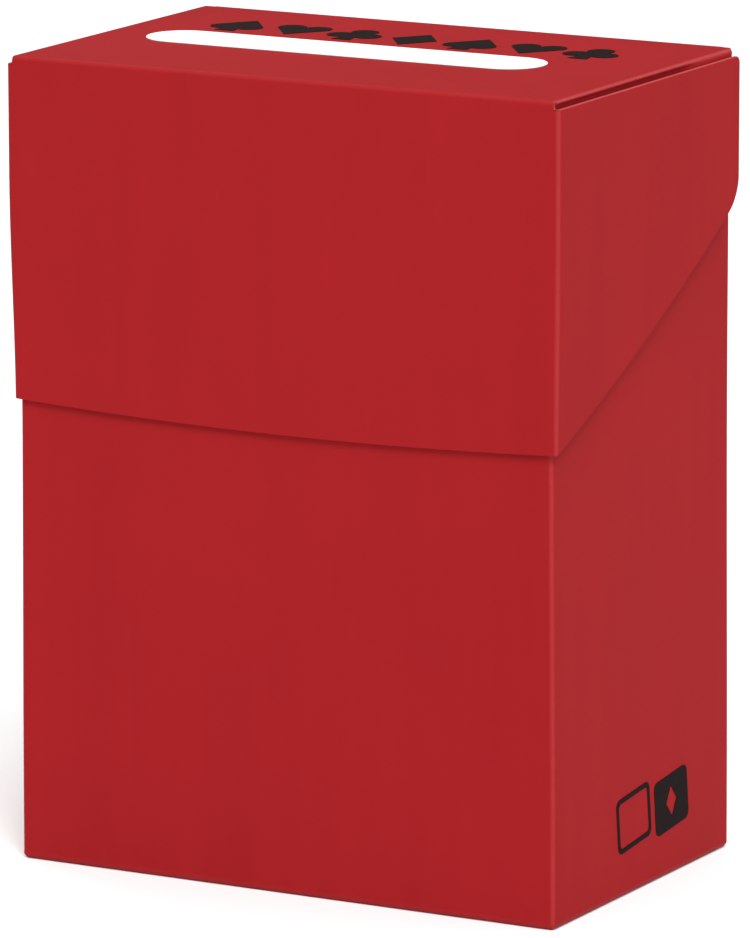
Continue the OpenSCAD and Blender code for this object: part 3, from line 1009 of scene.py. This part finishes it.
@functools.cache
def weld_plastic():
    """The same sheet, melted smooth: glossier and a little uneven in colour."""
    n = Nodes("red_weld")
    melt = n.noise(n.place(), scale=1400.0)
    n.link(n.vary(melt, RED, low=0.8, high=1.1), "Base Color")
    n.link(n.scaled(melt, gain=0.15, start=0.2), "Roughness")
    n.bump(melt, strength=0.3, distance=0.03 * MM)
    return n.material


@functools.cache
def ink():
    """Screen-printed ink, thin over the grain of the sheet, with pinholes."""
    n = Nodes("black_ink")
    where = n.place()
    grain = n.noise(where, GRAIN, detail=2.0)
    pinholes = n.spread(n.noise(where, FINE_TOOTH, detail=1.0), low=0.71, high=0.75)
    n.link(n.mix(n.scaled(pinholes, gain=0.5), INK, INK_PINHOLE), "Base Color")
    n.link(n.scaled(grain, gain=0.2, start=0.4), "Roughness")
    n.fix("Specular IOR Level", 0.02)
    n.bump(grain, strength=0.15, distance=FILM_DEPTH)
    return n.material


@functools.cache
def label_film():
    """Matte white film that takes a pen: soft tooth, faint grey handling marks."""
    n = Nodes("write_on_film")
    tooth = n.noise(n.place(), FINE_TOOTH, rough=0.65)
    marks = n.noise(n.place((300.0, 900.0, 900.0)), scale=1.0, detail=4.0)
    marks = n.spread(marks, low=0.58, high=0.8)
    edge = n.attribute("cut_edge")
    dirt = n.math("MAXIMUM", n.scaled(marks, gain=0.12), n.scaled(edge, gain=0.25))
    n.link(n.mix(dirt, PAPER, PAPER_WORN), "Base Color")
    n.link(n.scaled(tooth, gain=0.15, start=0.72), "Roughness")
    n.fix("Specular IOR Level", 0.2)
    n.bump(tooth, strength=0.25, distance=FILM_DEPTH)
    return n.material


@functools.cache
def milky_plastic():
    """Uncoloured polypropylene: cloudy, a little see-through, with the same grain and paler rims."""
    n = Nodes("milky_polypropylene")
    where = n.place()
    clouds = n.noise(where, scale=60.0)
    grain = n.noise(where, GRAIN, detail=2.0)
    edge = n.attribute("cut_edge")
    shade = n.vary(clouds, MILKY, low=0.95, high=1.05)
    n.link(n.mix(n.scaled(edge, gain=0.5), shade, MILKY_WORN), "Base Color")
    n.link(n.scaled(clouds, gain=0.1, start=0.36), "Roughness")
    n.fix("Subsurface Weight", 0.35)
    n.fix("Subsurface Radius", (0.6 * MM, 0.6 * MM, 0.6 * MM))
    n.fix("Subsurface Scale", 1.0)
    n.bump(grain, strength=0.15, distance=GRAIN_DEPTH)
    return n.material


def finish_piece(piece, body, material):
    """Gives a piece its material and body, and hides the CAD node it stands for."""
    piece.data.materials.clear()
    piece.data.materials.append(material())
    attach(piece, body)
    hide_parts(piece.name.removesuffix(LOOK))


# ---- Stage ----

CAMERA_AT = (0.44816, -0.81584, 0.23918)
CAMERA_YAW, CAMERA_PITCH, CAMERA_ROLL = 28.786, 11.708, -0.088     # degrees
LENS_MM = 311.25
NEAREST, FARTHEST = 0.01, 50           # the camera's clipping distances
FLOOR_REACH, FLOOR_CELLS = 6.0, 24
FLOOR_DARK, FLOOR_PALE = (0.88, 0.88, 0.88), (0.9, 0.9, 0.9)
SKY = 0.86                 # brightness overhead
HORIZON_DIM, HORIZON_LIT = 0.07, 0.98
HORIZON_TOP, SKY_FROM = 0.2, 0.65      # the sky changes from horizon to overhead between these heights
LIT_SIDE = (0.98, -0.2, 0.0)           # the way to the lit side of the horizon
DIM_FACING, LIT_FACING = -0.5, 1.0     # how far a direction faces that side where the horizon is dim or lit
AIM = (0, 0, 0.05)
KEY_AT, KEY_SIZE, KEY_WATTS = (0.56, -0.81, 1.3), 0.8, 22
FILL_AT, FILL_SIZE, FILL_WATTS = (-1.1, 0.75, 0.75), 0.8, 6


def make_camera():
    yaw, pitch, roll = (math.radians(a) for a in (CAMERA_YAW, CAMERA_PITCH, CAMERA_ROLL))
    forward = Vector((-math.sin(yaw) * math.cos(pitch), math.cos(yaw) * math.cos(pitch), -math.sin(pitch)))
    right = Vector((math.cos(yaw), math.sin(yaw), 0))
    up = right.cross(forward)
    rolled_right = right * math.cos(roll) + up * math.sin(roll)
    rolled_up = up * math.cos(roll) - right * math.sin(roll)
    data = bpy.data.cameras.new("camera")
    data.lens = LENS_MM
    data.clip_start, data.clip_end = NEAREST, FARTHEST
    camera = bpy.data.objects.new("camera", data)
    turn = Matrix((rolled_right, rolled_up, -forward)).transposed().to_4x4()
    camera.matrix_world = Matrix.Translation(CAMERA_AT) @ turn
    bpy.context.scene.collection.objects.link(camera)
    bpy.context.scene.camera = camera


def make_floor():
    """A plain pale floor, far wider than the view."""
    ticks = [-FLOOR_REACH + 2 * FLOOR_REACH * i / FLOOR_CELLS for i in range(FLOOR_CELLS + 1)]
    points = [(x, y, 0) for x in ticks for y in ticks]
    faces = []
    for i in range(FLOOR_CELLS):
        for j in range(FLOOR_CELLS):
            a, b = i * len(ticks) + j, (i + 1) * len(ticks) + j
            faces.append([a, b, b + 1, a + 1])
    floor = mesh_object("floor", points, faces)
    n = Nodes("pale_floor")
    n.link(n.mix(n.noise(n.place(), scale=8.0, detail=2.0), FLOOR_DARK, FLOOR_PALE), "Base Color")
    n.fix("Roughness", 0.9)
    n.fix("Specular IOR Level", 0.1)
    floor.data.materials.append(n.material)


def make_light(name, at, size, watts):
    data = bpy.data.lights.new(name, "AREA")
    data.shape = "DISK"
    data.size = size
    data.energy = watts
    light = bpy.data.objects.new(name, data)
    light.location = at
    light.rotation_euler = (Vector(AIM) - Vector(at)).to_track_quat("-Z", "Y").to_euler()
    bpy.context.scene.collection.objects.link(light)


def make_world():
    """A white sky, even overhead, that falls off towards the horizon behind the object."""
    world = bpy.data.worlds.new("studio")
    world.use_nodes = True
    n = Tree(world.node_tree)
    way = n.new("TexCoord").outputs["Generated"]
    facing = n.new("VectorMath")
    facing.operation = "DOT_PRODUCT"
    n.join(facing.inputs[0], way)
    facing.inputs[1].default_value = LIT_SIDE
    height = n.add("SeparateXYZ", Vector=way).outputs["Z"]
    horizon = n.spread(facing.outputs["Value"], DIM_FACING, LIT_FACING, HORIZON_DIM, HORIZON_LIT)
    share = n.spread(height, HORIZON_TOP, SKY_FROM)
    strength = n.math("MULTIPLY_ADD", n.math("SUBTRACT", SKY, horizon), share, horizon)
    background = world.node_tree.nodes["Background"]
    background.inputs["Color"].default_value = (1.0, 1.0, 1.0, 1.0)
    n.join(background.inputs["Strength"], strength)
    bpy.context.scene.world = world


def make_stage():
    make_camera()
    make_floor()
    make_world()
    make_light("key", KEY_AT, KEY_SIZE, KEY_WATTS)
    make_light("fill", FILL_AT, FILL_SIZE, FILL_WATTS)
    bpy.context.scene.view_settings.view_transform = "Standard"


make_stage()
make_body()
make_lid()
make_strip()
make_divider()
make_prints()
